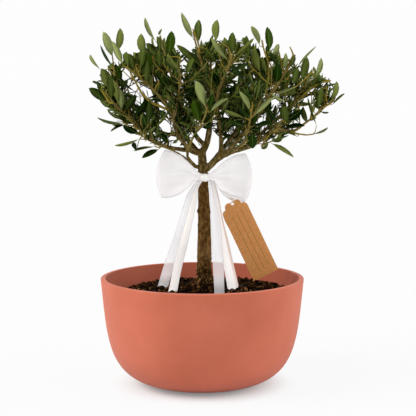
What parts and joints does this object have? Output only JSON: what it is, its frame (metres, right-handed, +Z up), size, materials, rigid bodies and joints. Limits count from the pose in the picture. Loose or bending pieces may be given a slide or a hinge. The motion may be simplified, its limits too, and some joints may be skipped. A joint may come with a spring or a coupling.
{
  "type": "olive bonsai",
  "caption": "Small olive tree with one straight trunk and a wide, open crown, planted in a round terracotta bowl, with a sheer ribbon bow and a plain card tag tied to the trunk.",
  "frame": {"origin": "centre of the bowl's flat underside", "axes": "+Z up along the bowl's axis; -Y towards the front, where the bow and the tag are; +X to the right seen from the front"},
  "size_m": [0.3113, 0.2948, 0.4543],
  "materials": {
    "terracotta": "matte, smooth",
    "mulch": "rough bark chips over soil",
    "bark": "rough, scaly near the foot",
    "foliage": "satin upper side, matte pale underside",
    "sheer": "sheer woven ribbon",
    "satin": "satin ribbon",
    "kraft_card": "matte uncoated card",
    "thread": "twisted cotton"
  },
  "bodies": {
    "root": {"pot": "terracotta", "soil": "mulch", "trunk": "bark", "bough_left": "bark", "bough_centre": "bark", "bough_right": "bark", "bough_left_low": "bark", "bough_left_under": "bark", "bough_left_far": "bark", "bough_left_up": "bark", "bough_front_left": "bark", "bough_upper_left": "bark", "bough_right_centre": "bark", "bough_right_upper": "bark", "bough_front_right": "bark", "bough_right_mid": "bark", "bough_right_low": "bark", "bough_back_left": "bark", "bough_back": "bark", "bough_back_right": "bark", "bough_back_left_low": "bark", "bough_back_right_low": "bark", "bough_back_high": "bark", "foliage_left": "foliage", "foliage_centre": "foliage", "foliage_right": "foliage", "foliage_left_low": "foliage", "foliage_left_under": "foliage", "foliage_left_far": "foliage", "foliage_left_up": "foliage", "foliage_front_left": "foliage", "foliage_upper_left": "foliage", "foliage_right_centre": "foliage", "foliage_right_upper": "foliage", "foliage_front_right": "foliage", "foliage_right_mid": "foliage", "foliage_right_low": "foliage", "foliage_back_left": "foliage", "foliage_back": "foliage", "foliage_back_right": "foliage", "foliage_back_left_low": "foliage", "foliage_back_right_low": "foliage", "foliage_back_high": "foliage", "bow_knot": "satin", "bow_band": "satin", "bow_loop_left": "sheer", "bow_loop_right": "sheer", "bow_tail_outer_left": "sheer", "bow_tail_inner_left": "satin", "bow_tail_inner_right": "sheer", "bow_tail_outer_right": "satin", "tag": "kraft_card", "tag_thread": "thread"}
  },
  "joints": []
}
